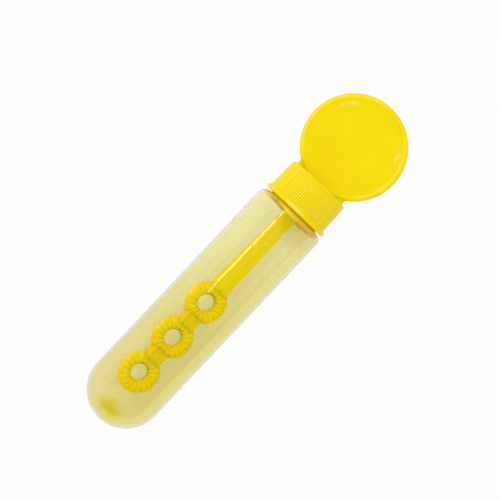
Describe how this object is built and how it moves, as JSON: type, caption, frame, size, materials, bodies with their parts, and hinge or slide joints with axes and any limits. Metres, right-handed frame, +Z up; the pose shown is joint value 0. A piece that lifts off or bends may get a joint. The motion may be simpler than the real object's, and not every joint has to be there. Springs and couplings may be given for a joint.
{
  "type": "bubble wand",
  "caption": "Toy bubble wand: round-ended see-through bottle, ribbed screw cap with a round grip disc, and a fluted multi-ring wand that unscrews and draws out with the cap.",
  "frame": {"origin": "on the surface that the object lies on, under the middle of its length", "axes": "+X along the bottle's axis towards the cap and the grip disc, +Z up out of the disc's face, +Y across the disc"},
  "size_m": [0.1348, 0.0344, 0.025],
  "materials": {
    "bottle_plastic": "clear yellow-tinted plastic, glossy",
    "cap_plastic": "bright yellow moulded plastic, satin gloss",
    "wad_plastic": "white polyethylene, matt",
    "wand_plastic": "yellow moulded plastic, satin"
  },
  "bodies": {
    "bottle": {"bottle": "bottle_plastic"},
    "wad": {"sealing_wad": "wad_plastic"},
    "cap": {"screw_cap": "cap_plastic", "wand": "wand_plastic"}
  },
  "joints": [
    {"name": "cap_draw", "type": "slide", "parent": "bottle", "child": "wad", "axis": [1, 0, 0], "range_m": [0, 0.105]},
    {"name": "cap_twist", "type": "hinge", "parent": "wad", "child": "cap", "pos_m": [0.0329, 0, 0.0125], "axis": [1, 0, 0], "range_deg": [0, 450]}
  ]
}
